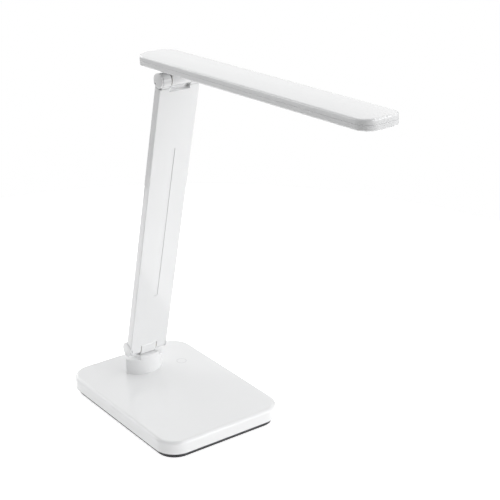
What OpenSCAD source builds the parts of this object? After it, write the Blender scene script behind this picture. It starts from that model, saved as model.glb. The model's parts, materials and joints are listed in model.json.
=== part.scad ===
// Folding desk lamp: a weighted base, a flat arm and a flat light bar, joined by two friction hinges.
// X runs along both hinge pins, the light bar points to -Y, and Z is up.
// The origin is on the table, under the middle of the base.

/* [Base] */
// Width of the base, left to right
base_w = 130; // [116:1:160]
// Depth of the base, front to back
base_d = 178; // [166:1:220]
// Radius of the base's corners, seen from above
base_corner_r = 21; // [14:0.5:26]
// Rounding of the cover's top edge
base_edge_r = 3; // [1:0.25:3.5]
// Height of the white cover, from its lower edge to its top
cover_h = 12.4; // [12:0.1:16]
// Thickness of the cover's side walls
cover_wall = 2.2; // [1.6:0.1:3]
// Thickness of the cover's top
cover_top = 2.4; // [1.8:0.1:3]
// How far the black tray's side stands inside the cover's outline
tray_inset = 3.6; // [3:0.1:6]
// Height of the tray's side that shows under the cover
tray_side_h = 5; // [4.6:0.1:7]
// Thickness of the tray's floor
tray_floor = 3.5; // [3.2:0.1:4]
// Thickness of the tray's side wall
tray_wall = 2; // [1.5:0.1:2.4]
// How far the pad under the tray holds it off the table
pad_stand = 0.8; // [0.5:0.1:1.5]
// How deep the pad is let into the tray
pad_sunk = 0.5; // [0.3:0.1:0.8]
// Distance from the tray's side to the edge of the pad
pad_margin = 6; // [4:0.5:10]

/* [Parts inside the base] */
// Distance from the base's sides to the steel counterweight
weight_from_side = 21; // [21:0.5:35]
// Depth of the steel counterweight
weight_d = 104; // [70:1:104]
// Thickness of the steel counterweight
weight_t = 6; // [3:0.5:6]
// Distance from the base's front to the counterweight
weight_front = 9; // [8:0.5:20]
// Thickness of the control board
board_t = 1.6; // [1:0.1:1.6]
// Height of the board over the tray's floor
board_lift = 1.2; // [0.8:0.1:1.4]
// Distance from the base's right side to the touch switch
touch_from_side = 28; // [27:0.5:31]
// Distance from the middle of the base to the touch switch, to the back
touch_y = 41; // [36:0.5:46]
// Outer diameter of the touch switch's ring mark
touch_ring_d = 10; // [8:0.5:14]
// Width of the ring mark's line
touch_ring_line = 0.8; // [0.5:0.1:1.2]

/* [Power inlet] */
// Diameter of the inlet's bore, which takes a 5.5 mm plug
inlet_bore_d = 6.3; // [6.1:0.1:6.5]
// Diameter of the inlet's centre pin, which takes a 2.1 mm plug
inlet_pin_d = 2; // [1.8:0.1:2.5]
// Depth of the inlet's bore
inlet_bore_depth = 9.5; // [9:0.5:10]
// Width of the inlet's housing
inlet_w = 9; // [8.9:0.1:10]
// Height of the inlet's housing
inlet_h = 7.4; // [7.4:0.1:7.6]

/* [Hinge post] */
// Depth of the post at its middle
post_d = 15.6; // [14.6:0.1:17]
// Distance from the lower pin forward to the post's bowed front
post_front = 10.7; // [10:0.1:11.5]
// Radius of the post's two corners, seen from above
post_corner_r = 2.4; // [1.5:0.1:3]
// Height of the post's shoulders over the base
post_h = 15.2; // [12:0.1:24]
// Width of the tongue that carries the lower pin
tongue_w = 16.5; // [14:0.1:18]
// How far the tongue's round top stands out beyond the arm's barrels
tongue_proud = 1.3; // [0.7:0.1:1.5]
// Width of the neck between the post's shoulders and the tongue
neck_w = 20.2; // [18.4:0.1:22]
// Height of the lower pin over the post's shoulders
pivot_lift = 11.2; // [9.5:0.1:16]
// Distance from the middle of the base back to the lower pin
pivot_back = 49; // [44:0.1:52]

/* [Hinges] */
// Radius of the upper hinge's barrels
barrel_r = 6.4; // [6:0.1:7]
// Radius of the lower hinge's barrels
low_barrel_r = 6.9; // [6.5:0.1:7.3]
// Diameter of the hinge pins
pin_d = 6; // [5:0.1:6.4]
// Radial clearance of a pin in the bracket that turns on it
pin_clearance = 0.05; // [0.02:0.01:0.1]
// Gap between turning parts
turn_gap = 0.3; // [0.25:0.05:0.4]
// Gap at each side of a hinge's middle barrel
side_gap = 0.7; // [0.6:0.05:1]
// Thickness of the friction washers
washer_t = 0.4; // [0.2:0.05:0.4]
// How far the rim of an end cap stands out beyond its barrel
cap_rim = 0.2; // [0.1:0.05:0.4]
// Thickness of the end caps at their middle
cap_t = 2.3; // [1.8:0.1:3]
// How far the end caps stand out of the arm's side
cap_proud = 1.05; // [0.5:0.05:1.5]
// Height of the end caps' dome
cap_dome = 0.7; // [0.3:0.05:1]
// Width of the groove between a cap and its barrel
cap_groove = 0.6; // [0.4:0.1:1]

/* [Arm] */
// Width of the arm
arm_w = 41.1; // [38:0.1:48]
// Thickness of the arm
arm_t = 8.1; // [7.7:0.1:9]
// Distance between the two pins
arm_len = 289.4; // [240:0.1:360]
// Lean of the arm towards the front, in degrees
arm_lean = 12.9; // [0:0.1:30]
// Wall of the arm's covers
arm_wall = 1.6; // [1.2:0.1:2]
// Thickness of the front cover's face
arm_face = 2; // [1.8:0.1:2.2]
// Rounding of the arm's long edges
arm_edge_r = 0.8; // [0.3:0.1:1.2]
// Width of the groove in the arm's face
groove_w = 5.6; // [3:0.1:8]
// Depth of the groove in the arm's face
groove_depth = 0.5; // [0.3:0.1:1.3]
// Distance from the lower pin to the groove's start
groove_from = 62.2; // [30:0.1:80]
// Length of the groove
groove_len = 159.5; // [60:0.1:165]
// Distance from the arm's upper end to the upper pin
arm_end_gap = 7.1; // [7:0.1:9]
// Depth of the notch in the front cover's upper edge
notch_depth = 3.2; // [1:0.1:3.6]
// Width of the steel spine
spine_w = 27.2; // [27:0.1:28]
// Thickness of the steel spine
spine_t = 2; // [1:0.1:2]

/* [Light bar] */
// Width of the light bar
bar_w = 38; // [37:0.1:46]
// Length of the light bar
bar_len = 301; // [250:1:308]
// Thickness of the light bar
bar_t = 9.5; // [9.3:0.1:12]
// Radius of the light bar's corners, seen from above
bar_corner_r = 12.4; // [6:0.1:14]
// Rounding of the light bar's upper and lower edges
bar_edge_r = 1.4; // [0.5:0.1:1.6]
// Distance from the upper pin to the light bar's back end
bar_back = 39; // [34:0.5:48]
// Height of the light bar's underside over the upper pin
bar_lift = 7.8; // [7.4:0.1:9]
// Rise of the light bar towards its tip, in degrees
bar_rise = 2.6; // [-10:0.1:20]
// Wall of the light bar's shells
bar_wall = 1.6; // [1.2:0.1:1.8]
// Width of the hinge block under the light bar
block_w = 20; // [18.2:0.1:20.4]
// Width of the light window
window_w = 27; // [23:0.5:28]
// Length of the light window
window_len = 214; // [150:1:214]
// Distance from the light bar's tip to the light window
window_from_tip = 10; // [8:0.5:14]
// Number of LEDs in each of the two rows
led_count = 18; // [6:1:24]

/* [Hidden] */
$fn = 96;

// Amount by which a cut runs past the face that it opens
cut = 0.5;
// Amount by which a boss or a neck runs into the wall that carries it
lap = 0.5;
// Number of sides of a large, shallow curve
fine = 360;

// Heights in the base
cover_low_z = pad_stand + tray_side_h;
base_top_z = cover_low_z + cover_h;
ceiling_z = base_top_z - cover_top;
floor_z = pad_stand + tray_floor;
pad_top_z = pad_stand + pad_sunk;
board_z = floor_z + board_lift;
board_top_z = board_z + board_t;

// The tray's flange stands inside the cover, and its side stands inside the flange
flange_gap = 0.2;
flange_h = 1.1;
flange_inset = cover_wall + flange_gap;
tray_inner_inset = tray_inset + tray_wall;

// The screws: M3 in the base, M2 on the board and in the arm and light bar.
// The cross recess is given as shares of the head's radius and height.
m3_r = 1.5;
m3_head_r = 2.8;
m3_head_h = 1.6;
m2_r = 1;
m2_head_r = 1.9;
m2_head_h = 1;
hole_slack = 0.2;
recess_len = 0.9;
recess_line = 0.25;
recess_depth = 0.6;
base_screw_len = 8;
boss_r = 3.5;
boss_from_side = 16;
weight_screw_x = 30;
weight_screw_bite = 2;

// The counterweight's width, corners and place
weight_w = base_w - 2 * weight_from_side;
weight_corner_r = 8;
weight_y = -base_d / 2 + weight_front + weight_d / 2;

// The touch switch's place to the right of the middle
touch_x = base_w / 2 - touch_from_side;

// The control board: an L, from behind the touch switch to the inlet
board_side = 7;
board_leg_w = 16;
board_back_gap = 0.4;
board_back_y = base_d / 2 - tray_inner_inset - board_back_gap;
board_bar_d = 19;
board_left_x = -10.5;
board_right_x = touch_x + board_side;
board_before_touch = 12;
board_front_y = touch_y - board_before_touch;
standoff_r = 2.5;
board_hole_in = 3;
board_screw_bite = 1.3;
chip = [6, 5, 1.5];
coil = [8, 8, 4];
capacitor_r = 3;
capacitor_h = 7;
spring_r = 4;
spring_wire = 0.8;

// The ring mark is let into the cover's top
ring_sunk = 0.3;

// The inlet's place: on the board, behind the hole in the cover's back wall
inlet_z = board_top_z + inlet_h / 2;
inlet_back_y = base_d / 2 - cover_wall;
inlet_len = 14;
inlet_nose_wall = 0.6;
inlet_nose_r = inlet_bore_d / 2 + inlet_nose_wall;
inlet_sunk = 0.4;
inlet_nose_len = cover_wall - inlet_sunk;
inlet_mouth_y = inlet_back_y + inlet_nose_len;
inlet_pin_short = 1;

// The lower pin's place, and the upper pin's place along the arm from it
pivot_z = base_top_z + post_h + pivot_lift;
pin_r = pin_d / 2;
loose_r = pin_r + turn_gap;
ear_in_low = tongue_w / 2 + side_gap;
ear_in_high = block_w / 2 + side_gap;
cap_out = arm_w / 2 + cap_proud;
cap_in = cap_out - cap_t;
ear_out = cap_in - cap_groove;
cap_neck_r = 5.4;
washer_inset = 0.8;
dimple_r = 0.9;
dimple_depth = 0.8;
dimple_from_centre = 4.4;
dimple_angle = -50;

// The brackets that turn on the pins, one in the post and one in the hinge block
eye_r = 4.6;
eye_w = 8;
neck_t = 6;
bracket_plate_t = 2;
bracket_plate_w = 32;
bracket_plate_d = 14;
post_screw_x = 12;
post_screw_bite = 10;

// The post is as wide as the arm.
// Seen from above, its front is one arc that runs smoothly into both round corners.
post_w = arm_w;
post_back = post_d - post_front;
post_corner_x = post_w / 2 - post_corner_r;
post_corner_y = post_back - post_corner_r;
corner_behind_front = post_d - post_corner_r;
post_bow_r = (pow(post_corner_x, 2) + pow(corner_behind_front, 2) - pow(post_corner_r, 2))
    / (2 * (corner_behind_front - post_corner_r));
post_bow_y = post_bow_r - post_front;

// The lower pin lies behind the arm's middle, which brings the barrels level with the arm's face
barrel_bulge = 0.1;
flush_y = low_barrel_r - barrel_bulge;
low_pin_behind = flush_y - arm_t / 2;

// The neck ends under the folded arm, and the tongue's top turns in the arm's lower end
neck_top = -low_barrel_r - turn_gap;
tongue_r = low_barrel_r + tongue_proud;
tongue_waist = sqrt(pow(tongue_r, 2) - pow(neck_top, 2));

// The arm's ends, along the arm from the level of the lower pin
arm_end = arm_len - arm_end_gap;
seam_gap = 0.25;
low_wall = 2.4;
high_wall = 5;
arm_round_low = tongue_r + turn_gap;
cavity_from = arm_round_low + low_wall;
cavity_to = arm_end - high_wall;
notch_slack = 0.5;
groove_corner_r = 1;
cap_seat_r = low_barrel_r + cap_rim + seam_gap;
rear_face = arm_wall;

// The spine's eyes stand in slots in the barrels
eye_t = 1.6;
eye_slack = 0.1;
tab_half = 1.8;
eye_out = spine_w / 2;
eye_in = eye_out - eye_t;
spine_low_gap = 2;
spine_high_gap = 0.6;
spine_from = cavity_from + spine_low_gap;
spine_to = cavity_to - spine_high_gap;
tab_lap = 2;
cable_w = 6;
cable_t = 0.6;

// The arm's screws, in two pairs
arm_boss_r = 1.9;
arm_screw_x = arm_w / 2 - arm_wall - arm_boss_r + lap;
arm_screw_from_end = 28;
arm_screw_z = [arm_screw_from_end, arm_end - arm_screw_from_end];
arm_screw_bite = 2;

// The light bar, in its own frame with the upper pin at the origin
bar_mid_y = bar_back - bar_len / 2;
bar_half_t = bar_t / 2;
bar_seam_z = bar_lift + bar_half_t;
bar_floor_z = bar_lift + bar_wall;
bar_ceiling_z = bar_lift + bar_t - bar_wall;
bar_seam_h = 0.25;
bar_seam_depth = 0.5;
window_y = bar_back - bar_len + window_from_tip + window_len / 2;
window_corner_r = 5;
window_gap = 0.1;
lip = 2;
lip_t = 1;
led_board_t = 1.2;
led_board_side = 2.5;
led_board_end = 4;
led_board_w = window_w - 2 * led_board_side;
led_board_len = window_len - 2 * led_board_end;
led_w = 2.8;
led_len = 3.5;
led_h = 0.8;
led_row_x = 6;
bar_plate_w = 18;
bar_plate_d = 24;
bar_plate_t = 1.5;
bracket_screw_x = 6.6;
bracket_screw_bite = 2.6;
bar_screw_x = 13;
bar_screw_y = [-20, 28];
bar_boss_r = 2.6;
bar_screw_bite = 4;

// Outline of a rectangle with round corners
module round_rect(w, d, r) {
    square([w - 2 * r, d], center = true);
    square([w, d - 2 * r], center = true);
    for (x = [-1, 1], y = [-1, 1])
        translate([x * (w / 2 - r), y * (d / 2 - r)]) circle(r);
}

// Outline of the base, drawn in by an inset
module base_outline(inset) {
    round_rect(base_w - 2 * inset, base_d - 2 * inset, base_corner_r - inset);
}

// A plate with the base's outline
module base_slab(inset, from_z, to_z) {
    translate([0, 0, from_z]) linear_extrude(to_z - from_z) base_outline(inset);
}

// Half of a slab's section, from its middle out to its rounded edge
module edge_section(half, h, top_r, low_r) {
    square([half - max(top_r, low_r), h]);
    translate([0, low_r]) square([half, h - low_r - top_r]);
    if (top_r > 0) translate([half - top_r, h - top_r]) circle(top_r);
    if (low_r > 0) translate([half - low_r, low_r]) circle(low_r);
}

// Whole of a slab's section
module full_section(half, h, top_r, low_r) {
    edge_section(half, h, top_r, low_r);
    mirror([1, 0]) edge_section(half, h, top_r, low_r);
}

// Slab with round corners and rounded upper and lower edges, standing on z = 0
module soft_slab(w, d, h, corner_r, top_r, low_r) {
    rotate([90, 0, 90]) linear_extrude(w - 2 * corner_r, center = true)
        full_section(d / 2, h, top_r, low_r);
    rotate([90, 0, 0]) linear_extrude(d - 2 * corner_r, center = true)
        full_section(w / 2, h, top_r, low_r);
    for (x = [-1, 1], y = [-1, 1])
        translate([x * (w / 2 - corner_r), y * (d / 2 - corner_r), 0])
            rotate_extrude() edge_section(corner_r, h, top_r, low_r);
}

// Cylinder along X, between two places on X
module rod_x(r, from_x, to_x) {
    translate([from_x, 0, 0]) rotate([0, 90, 0]) cylinder(r = r, h = to_x - from_x);
}

// The children and their mirror image, right and left
module both_sides() {
    children();
    mirror([1, 0, 0]) children();
}

// Pan-head screw with a cross recess: its outer face is on z = 0 and its shaft points up
module screw(r, head_r, head_h, len) {
    slot = head_r * recess_len;
    slot_t = head_r * recess_line;
    difference() {
        union() {
            cylinder(r = head_r, h = head_h);
            cylinder(r = r, h = head_h + len);
        }
        for (turn = [0, 90])
            rotate([0, 0, turn]) translate([-slot / 2, -slot_t / 2, -cut])
                cube([slot, slot_t, cut + head_h * recess_depth]);
    }
}

// Places of the four bosses in the base
module at_bosses() {
    for (x = [-1, 1], y = [-1, 1])
        translate([x * (base_w / 2 - boss_from_side), y * (base_d / 2 - boss_from_side), 0])
            children();
}

// Places of the control board's screws
module at_board_screws() {
    for (place = [
        [board_right_x - board_hole_in, board_front_y + board_hole_in],
        [board_right_x - board_hole_in, board_back_y - board_hole_in],
        [board_left_x + board_hole_in, board_back_y - board_hole_in]
    ])
        translate([place[0], place[1], 0]) children();
}

// From the base's frame to the lower pin
module at_pivot() {
    translate([0, pivot_back, pivot_z]) children();
}

// From the base's frame to the arm's frame: Z runs up the arm's middle and -Y is its face
module in_arm() {
    at_pivot() rotate([arm_lean, 0, 0]) translate([0, -low_pin_behind, 0]) children();
}

// From the arm's frame to the lower pin
module at_low_pin() {
    translate([0, low_pin_behind, 0]) children();
}

// From the base's frame to the light bar's frame
module in_bar() {
    in_arm() translate([0, 0, arm_len]) rotate([-arm_lean - bar_rise, 0, 0]) children();
}

// Outline of the post: a bowed front, a flat back and two round corners
module post_outline() {
    // The bow's slice ends on the lines from its centre through the corners' centres
    reach = 4;
    slice_x = reach * post_corner_x;
    slice_y = post_bow_y - reach * (post_bow_y - post_corner_y);
    intersection() {
        translate([0, post_bow_y]) circle(post_bow_r, $fn = fine);
        polygon([[0, post_bow_y], [-slice_x, slice_y], [slice_x, slice_y]]);
        translate([-post_w, -post_w]) square([2 * post_w, post_w + post_back]);
    }
    for (x = [-1, 1])
        translate([x * post_corner_x, post_corner_y]) circle(post_corner_r);
    translate([-post_corner_x, post_corner_y]) square([2 * post_corner_x, post_corner_r]);
}

// Side view of the neck, up to the level under the folded arm
module neck_section() {
    polygon([
        [-post_front, -pivot_lift - lap],
        [-post_front, neck_top],
        [tongue_waist, neck_top],
        [post_back, -pivot_lift],
        [post_back, -pivot_lift - lap]
    ]);
}

// Tongue, round about the pin and level with the arm's face, on a wider neck that carries on the bow
module tongue() {
    intersection() {
        rod_x(tongue_r, -tongue_w / 2, tongue_w / 2);
        rotate([arm_lean, 0, 0]) cube([arm_w, 2 * flush_y, 3 * tongue_r], center = true);
    }
    intersection() {
        translate([0, 0, -pivot_lift - lap]) linear_extrude(pivot_lift) post_outline();
        rotate([90, 0, 90]) linear_extrude(neck_w, center = true) neck_section();
    }
}

// Bracket's eye and the neck that leads from the pin along Z, with no bore yet
module bracket_eye(neck_to) {
    rod_x(eye_r, -eye_w / 2, eye_w / 2);
    translate([-eye_w / 2, -neck_t / 2, min(0, neck_to)])
        cube([eye_w, neck_t, abs(neck_to)]);
}

// Steel bracket of the post, in the frame of the lower pin, with no bores yet
module post_bracket_blank() {
    bracket_eye(ceiling_z - pivot_z);
    translate([-bracket_plate_w / 2, -bracket_plate_d / 2, ceiling_z - bracket_plate_t - pivot_z])
        cube([bracket_plate_w, bracket_plate_d, bracket_plate_t]);
}

// Steel bracket of the light bar, in the light bar's frame, with no bores yet
module bar_bracket_blank() {
    bracket_eye(bar_floor_z + bar_plate_t);
    translate([-bar_plate_w / 2, -bar_plate_d / 2, bar_floor_z])
        cube([bar_plate_w, bar_plate_d, bar_plate_t]);
}

// Outline of the arm's section
module arm_section() {
    round_rect(arm_w, arm_t, arm_edge_r);
}

// Outside of the arm, with its two lower barrels, as one solid
module arm_outside() {
    difference() {
        linear_extrude(arm_end) arm_section();
        at_low_pin() {
            rod_x(arm_round_low, -ear_in_low, ear_in_low);
            both_sides() rod_x(cap_seat_r, ear_out, arm_w);
        }
    }
    at_low_pin() both_sides() rod_x(low_barrel_r, ear_in_low, ear_out);
}

// Room for the spine's eye and tab in a barrel, for a pin at z = 0 and so far behind the arm's middle
module eye_room(tab_to, pin_behind) {
    translate([0, pin_behind, 0]) rod_x(eye_r + eye_slack, eye_in - eye_slack, eye_out + eye_slack);
    translate([eye_in - eye_slack, -tab_half - eye_slack, min(0, tab_to)])
        cube([eye_t + 2 * eye_slack, 2 * (tab_half + eye_slack), abs(tab_to)]);
}

// All that is hollow in the arm
module arm_inside() {
    inner_w = arm_w - 2 * arm_wall;
    front = arm_t / 2 - arm_face;
    rear = arm_t / 2 - rear_face;
    translate([-inner_w / 2, -front, cavity_from])
        cube([inner_w, front + rear, cavity_to - cavity_from]);
    both_sides() eye_room(cavity_from + cut, low_pin_behind);
    translate([0, 0, arm_len]) both_sides() eye_room(cavity_to - cut - arm_len, 0);
    at_low_pin() rod_x(pin_r, -arm_w, arm_w);
}

// Everything on one side of the arm's mid-plane: side -1 is the face, 1 is the back
module arm_half(side) {
    translate([-arm_w, side < 0 ? -2 * arm_t : 0, -2 * barrel_r])
        cube([2 * arm_w, 2 * arm_t, arm_len + 4 * barrel_r]);
}

// Places of the arm's screws, with Z pointing from its back to its face
module at_arm_screws() {
    for (z = arm_screw_z, x = [-1, 1])
        translate([x * arm_screw_x, arm_t / 2, z]) rotate([90, 0, 0]) children();
}

// Solid bosses that join the arm's two walls
module arm_bosses() {
    at_arm_screws() translate([0, 0, rear_face / 2])
        cylinder(r = arm_boss_r, h = arm_t - rear_face / 2 - arm_face / 2);
}

// Holes for the arm's screws
module arm_screw_holes() {
    at_arm_screws() translate([0, 0, -cut]) {
        cylinder(r = m2_head_r + hole_slack / 2, h = cut + m2_head_h);
        cylinder(r = m2_r, h = cut + arm_t / 2 + arm_screw_bite);
    }
}

// White cover of the base
module base_cover() color("white") {
    difference() {
        union() {
            difference() {
                translate([0, 0, cover_low_z])
                    soft_slab(base_w, base_d, cover_h, base_corner_r, base_edge_r, 0);
                base_slab(cover_wall, cover_low_z - cut, ceiling_z);
            }
            at_bosses() translate([0, 0, floor_z]) cylinder(r = boss_r, h = ceiling_z - floor_z + lap);
        }
        at_bosses() translate([0, 0, floor_z - cut]) cylinder(r = m3_r, h = ceiling_z - floor_z);
        at_pivot() post_bracket_blank();
        for (x = [-1, 1])
            translate([x * post_screw_x, pivot_back, ceiling_z - cut])
                cylinder(r = m3_r + hole_slack, h = cover_top + 2 * cut);
        translate([touch_x, touch_y, base_top_z - ring_sunk]) ring_mark(ring_sunk + cut);
        translate([0, inlet_back_y - cut, inlet_z]) rotate([-90, 0, 0])
            cylinder(r = inlet_nose_r + hole_slack, h = cover_wall + 2 * cut);
    }
}

// Black tray that closes the base from below
module base_tray() color("#1c1c1e") {
    difference() {
        union() {
            base_slab(tray_inset, pad_stand, cover_low_z);
            base_slab(flange_inset, cover_low_z, cover_low_z + flange_h);
        }
        base_slab(tray_inner_inset, floor_z, cover_low_z + flange_h + cut);
        base_slab(tray_inset + pad_margin, pad_stand - cut, pad_top_z);
        at_bosses() translate([0, 0, pad_top_z - cut]) {
            cylinder(r = m3_head_r + hole_slack, h = cut + m3_head_h);
            cylinder(r = m3_r + hole_slack, h = tray_floor + 2 * cut);
        }
        at_weight_screws() translate([0, 0, floor_z - weight_screw_bite])
            cylinder(r = m3_r, h = weight_screw_bite + cut);
        at_board_screws() translate([0, 0, floor_z - board_screw_bite])
            cylinder(r = m2_r, h = board_screw_bite + cut);
    }
    at_board_screws() translate([0, 0, floor_z]) difference() {
        cylinder(r = standoff_r, h = board_lift);
        translate([0, 0, -cut]) cylinder(r = m2_r, h = board_lift + 2 * cut);
    }
}

// Soft pad that the lamp stands on
module foot_pad() color("#2a2a2c") {
    base_slab(tray_inset + pad_margin, 0, pad_top_z);
}

// Places of the counterweight's two screws
module at_weight_screws() {
    for (x = [-1, 1])
        translate([x * weight_screw_x, weight_y, 0]) children();
}

// Steel plate that keeps the lamp from tipping
module counterweight() color("#7d8084") {
    difference() {
        translate([0, weight_y, floor_z]) linear_extrude(weight_t) round_rect(weight_w, weight_d, weight_corner_r);
        at_weight_screws() translate([0, 0, floor_z - cut])
            cylinder(r = m3_r + hole_slack, h = weight_t + 2 * cut);
    }
}

// Screws from the tray into the cover's bosses
module base_screws() color("silver") {
    at_bosses() translate([0, 0, pad_top_z]) screw(m3_r, m3_head_r, m3_head_h, base_screw_len);
}

// Screws that hold the counterweight on the tray
module weight_screws() color("silver") {
    at_weight_screws() translate([0, 0, floor_z + weight_t + m3_head_h]) mirror([0, 0, 1])
        screw(m3_r, m3_head_r, m3_head_h, weight_t + weight_screw_bite);
}

// Circuit board that dims and switches the light
module control_board() color("#1f6f43") {
    difference() {
        translate([0, 0, board_z]) linear_extrude(board_t) {
            translate([board_left_x, board_back_y - board_bar_d])
                square([board_right_x - board_left_x, board_bar_d]);
            translate([board_right_x - board_leg_w, board_front_y])
                square([board_leg_w, board_back_y - board_front_y]);
        }
        at_board_screws() translate([0, 0, board_z - cut])
            cylinder(r = m2_r + hole_slack / 2, h = board_t + 2 * cut);
    }
}

// Chip, coil and capacitor on the board
module board_parts() color("#303030") {
    leg_x = board_right_x - board_leg_w / 2;
    leg_y = (touch_y + board_back_y - board_bar_d) / 2;
    bar_y = board_back_y - board_bar_d / 2;
    coil_x = board_right_x - board_leg_w - coil[0] / 2;
    capacitor_x = (inlet_w / 2 + coil_x - coil[0] / 2) / 2;
    translate([leg_x - chip[0] / 2, leg_y - chip[1] / 2, board_top_z]) cube(chip);
    translate([coil_x - coil[0] / 2, bar_y - coil[1] / 2, board_top_z]) cube(coil);
    translate([capacitor_x, bar_y, board_top_z]) cylinder(r = capacitor_r, h = capacitor_h);
}

// Screws that hold the board
module board_screws() color("silver") {
    at_board_screws() translate([0, 0, board_top_z + m2_head_h]) mirror([0, 0, 1])
        screw(m2_r, m2_head_r, m2_head_h, board_t + board_lift + board_screw_bite);
}

// Spring that joins the board to the touch switch's place under the cover
module touch_spring() color("#c8b070") {
    translate([touch_x, touch_y, board_top_z]) difference() {
        cylinder(r = spring_r, h = ceiling_z - board_top_z);
        translate([0, 0, -cut])
            cylinder(r = spring_r - spring_wire, h = ceiling_z - board_top_z + 2 * cut);
    }
}

// Ring of the touch switch's mark
module ring_mark(h) {
    difference() {
        cylinder(d = touch_ring_d, h = h);
        translate([0, 0, -cut]) cylinder(d = touch_ring_d - 2 * touch_ring_line, h = h + 2 * cut);
    }
}

// Mark that shows where to touch the base
module touch_ring() color("#d8d8da") {
    translate([touch_x, touch_y, base_top_z - ring_sunk]) ring_mark(ring_sunk);
}

// Housing of the power inlet, on the board
module inlet_housing() color("#202020") {
    difference() {
        union() {
            translate([-inlet_w / 2, inlet_back_y - inlet_len, board_top_z])
                cube([inlet_w, inlet_len, inlet_h]);
            translate([0, inlet_back_y - cut, inlet_z]) rotate([-90, 0, 0])
                cylinder(r = inlet_nose_r, h = inlet_nose_len + cut);
        }
        translate([0, inlet_mouth_y - inlet_bore_depth, inlet_z]) rotate([-90, 0, 0])
            cylinder(d = inlet_bore_d, h = inlet_bore_depth + cut);
    }
}

// Centre pin of the power inlet
module inlet_pin() color("silver") {
    translate([0, inlet_mouth_y - inlet_bore_depth, inlet_z]) rotate([-90, 0, 0])
        cylinder(d = inlet_pin_d, h = inlet_bore_depth - inlet_pin_short);
}

// White post on the base, with the tongue between the arm's barrels
module hinge_post() color("white") {
    at_pivot() difference() {
        union() {
            translate([0, 0, -pivot_lift - post_h]) linear_extrude(post_h) post_outline();
            tongue();
        }
        post_bracket_blank();
        rod_x(loose_r, -tongue_w, tongue_w);
        for (x = [-1, 1])
            translate([x * post_screw_x, 0, -pivot_lift - post_h - cut])
                cylinder(r = m3_r, h = post_screw_bite + cut);
    }
}

// Steel bracket moulded into the post, which turns on the lower pin's outside
module post_bracket() color("#8a8d91") {
    at_pivot() difference() {
        post_bracket_blank();
        rod_x(pin_r + pin_clearance, -eye_w, eye_w);
        for (x = [-1, 1])
            translate([x * post_screw_x, 0, ceiling_z - bracket_plate_t - cut - pivot_z])
                cylinder(r = m3_r + hole_slack, h = bracket_plate_t + 2 * cut);
    }
}

// Screws from under the cover's top into the post
module post_screws() color("silver") {
    for (x = [-1, 1])
        translate([x * post_screw_x, pivot_back, ceiling_z - bracket_plate_t - m3_head_h])
            screw(m3_r, m3_head_r, m3_head_h, bracket_plate_t + cover_top + post_screw_bite);
}

// Front cover of the arm, with the groove in its face and the notch in its upper edge
module arm_front_cover() color("white") {
    in_arm() difference() {
        intersection() {
            union() {
                difference() {
                    arm_outside();
                    arm_inside();
                }
                arm_bosses();
            }
            arm_half(-1);
        }
        arm_screw_holes();
        translate([0, -arm_t / 2 - cut, groove_from + groove_len / 2]) rotate([-90, 0, 0])
            linear_extrude(cut + groove_depth) round_rect(groove_w, groove_len, groove_corner_r);
        translate([-block_w / 2 - notch_slack, -arm_t, arm_end - notch_depth])
            cube([block_w + 2 * notch_slack, 2 * arm_t, notch_depth + cut]);
    }
}

// Rear cover of the arm
module arm_rear_cover() color("white") {
    in_arm() difference() {
        intersection() {
            union() {
                difference() {
                    arm_outside();
                    arm_inside();
                }
                arm_bosses();
            }
            arm_half(1);
        }
        arm_screw_holes();
    }
}

// Eye and tab at one side of the spine, for a pin at z = 0 and so far behind the arm's middle
module spine_eye(tab_to, pin_behind) {
    translate([0, pin_behind, 0]) rod_x(eye_r, eye_in, eye_out);
    translate([eye_in, -tab_half, min(0, tab_to)]) cube([eye_t, 2 * tab_half, abs(tab_to)]);
}

// Steel spine of the arm, which holds both pins
module arm_spine() color("#8a8d91") {
    in_arm() difference() {
        union() {
            translate([-spine_w / 2, -spine_t / 2, spine_from])
                cube([spine_w, spine_t, spine_to - spine_from]);
            both_sides() spine_eye(spine_from + tab_lap, low_pin_behind);
            translate([0, 0, arm_len]) both_sides() spine_eye(spine_to - tab_lap - arm_len, 0);
        }
        at_low_pin() rod_x(pin_r, -arm_w, arm_w);
        translate([0, 0, arm_len]) rod_x(pin_r, -arm_w, arm_w);
    }
}

// Flat cable along the spine, from hinge to hinge
module arm_cable() color("#c04030") {
    in_arm() translate([-cable_w / 2, spine_t / 2, spine_from])
        cube([cable_w, cable_t, spine_to - spine_from]);
}

// Screws that join the arm's covers, from the back
module arm_screws() color("silver") {
    in_arm() at_arm_screws()
        screw(m2_r, m2_head_r, m2_head_h, arm_t / 2 + arm_screw_bite - m2_head_h - cut);
}

// Hinge pin between the two caps, for a hinge at z = 0
module hinge_pin() {
    rod_x(pin_r, -ear_out, ear_out);
}

// Pair of friction washers against the barrels, for a hinge at z = 0
module hinge_washers(ear_in, barrel) {
    both_sides() difference() {
        rod_x(barrel - washer_inset, ear_in - washer_t, ear_in);
        rod_x(pin_r, 0, arm_w);
    }
}

// Half of an end cap's section: its neck, its rim and its domed face
module cap_section(barrel) {
    cap_r = barrel + cap_rim;
    dome_r = (pow(cap_r, 2) + pow(cap_dome, 2)) / (2 * cap_dome);
    translate([0, ear_out]) square([cap_neck_r, cap_in - ear_out]);
    intersection() {
        translate([0, cap_in]) square([cap_r, cap_t]);
        translate([0, cap_out - dome_r]) circle(dome_r, $fn = fine);
    }
}

// Domed end cap on the right-hand side, for a hinge at z = 0
module end_cap(barrel) {
    rotate([0, 90, 0]) rotate_extrude() cap_section(barrel);
}

// Lower hinge pin, fixed in the arm
module lower_pin() color("silver") {
    in_arm() at_low_pin() hinge_pin();
}

// Friction washers of the lower hinge
module lower_washers() color("#b0a080") {
    in_arm() at_low_pin() hinge_washers(ear_in_low, low_barrel_r);
}

// End caps of the lower hinge
module lower_caps() color("white") {
    in_arm() at_low_pin() both_sides() end_cap(low_barrel_r);
}

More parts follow.
